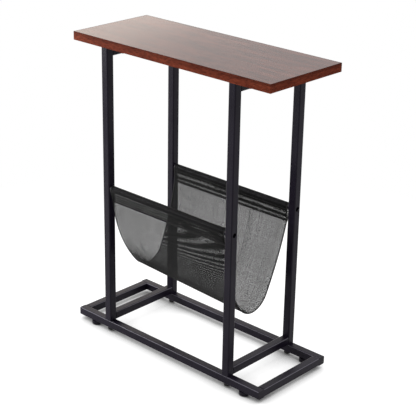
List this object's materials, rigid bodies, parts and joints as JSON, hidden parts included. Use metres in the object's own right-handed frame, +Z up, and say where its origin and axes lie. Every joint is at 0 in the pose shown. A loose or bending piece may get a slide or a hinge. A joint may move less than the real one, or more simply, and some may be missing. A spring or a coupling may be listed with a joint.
{
  "type": "magazine table",
  "caption": "Narrow side table with a wood-look board on a black square-tube frame, a mesh sling between two round rails for magazines, and levelling feet under its base.",
  "frame": {"origin": "on the floor under the middle of the board", "axes": "+X along the board, +Y from the open front to the rear across its depth, +Z up"},
  "size_m": [0.45, 0.181, 0.56],
  "materials": {
    "wood_laminate": "semi-gloss dark red-brown wood-grain laminate",
    "edge_band": "satin red-brown wood-grain edge band",
    "powder_coat": "satin black powder coat",
    "black_steel": "black oxide",
    "zinc_steel": "zinc plated",
    "black_plastic": "moulded, fine grain",
    "mesh_fabric": "coated open weave mesh"
  },
  "bodies": {
    "table": {"top_board": "wood_laminate", "edge_band_front": "edge_band", "edge_band_rear": "edge_band", "edge_band_left": "edge_band", "edge_band_right": "edge_band", "left_front_post": "powder_coat", "left_rear_post": "powder_coat", "right_front_post": "powder_coat", "right_rear_post": "powder_coat", "left_top_rail": "powder_coat", "right_top_rail": "powder_coat", "left_bottom_rail": "powder_coat", "right_bottom_rail": "powder_coat", "base_front_rail": "powder_coat", "base_rear_rail": "powder_coat", "base_left_rail": "powder_coat", "base_right_rail": "powder_coat", "front_sling_rail": "powder_coat", "rear_sling_rail": "powder_coat", "base_bolts": "black_steel", "rail_bolts": "black_steel", "top_screws": "black_steel", "post_nuts": "zinc_steel", "rail_end_plugs": "zinc_steel", "foot_nuts": "zinc_steel", "base_end_caps": "black_plastic", "sling": "mesh_fabric"},
    "left_front_pad": {"left_front_foot_pad": "black_plastic"},
    "left_front_stud": {"left_front_foot_stud": "zinc_steel"},
    "left_rear_pad": {"left_rear_foot_pad": "black_plastic"},
    "left_rear_stud": {"left_rear_foot_stud": "zinc_steel"},
    "right_front_pad": {"right_front_foot_pad": "black_plastic"},
    "right_front_stud": {"right_front_foot_stud": "zinc_steel"},
    "right_rear_pad": {"right_rear_foot_pad": "black_plastic"},
    "right_rear_stud": {"right_rear_foot_stud": "zinc_steel"}
  },
  "joints": [
    {"name": "left_front_foot_slide", "type": "slide", "parent": "table", "child": "left_front_pad", "axis": [0, 0, -1], "range_m": [0, 0.006]},
    {"name": "left_front_foot_turn", "type": "hinge", "parent": "left_front_pad", "child": "left_front_stud", "pos_m": [-0.186, -0.0815, 0], "axis": [0, 0, -1], "range_deg": [0, 2160]},
    {"name": "left_rear_foot_slide", "type": "slide", "parent": "table", "child": "left_rear_pad", "axis": [0, 0, -1], "range_m": [0, 0.006]},
    {"name": "left_rear_foot_turn", "type": "hinge", "parent": "left_rear_pad", "child": "left_rear_stud", "pos_m": [-0.186, 0.0815, 0], "axis": [0, 0, -1], "range_deg": [0, 2160]},
    {"name": "right_front_foot_slide", "type": "slide", "parent": "table", "child": "right_front_pad", "axis": [0, 0, -1], "range_m": [0, 0.006]},
    {"name": "right_front_foot_turn", "type": "hinge", "parent": "right_front_pad", "child": "right_front_stud", "pos_m": [0.186, -0.0815, 0], "axis": [0, 0, -1], "range_deg": [0, 2160]},
    {"name": "right_rear_foot_slide", "type": "slide", "parent": "table", "child": "right_rear_pad", "axis": [0, 0, -1], "range_m": [0, 0.006]},
    {"name": "right_rear_foot_turn", "type": "hinge", "parent": "right_rear_pad", "child": "right_rear_stud", "pos_m": [0.186, 0.0815, 0], "axis": [0, 0, -1], "range_deg": [0, 2160]}
  ],
  "couplings": [
    {"joint": "left_front_foot_turn", "follows": "left_front_foot_slide", "rad_per_m": 6283.2},
    {"joint": "left_rear_foot_turn", "follows": "left_rear_foot_slide", "rad_per_m": 6283.2},
    {"joint": "right_front_foot_turn", "follows": "right_front_foot_slide", "rad_per_m": 6283.2},
    {"joint": "right_rear_foot_turn", "follows": "right_rear_foot_slide", "rad_per_m": 6283.2}
  ]
}
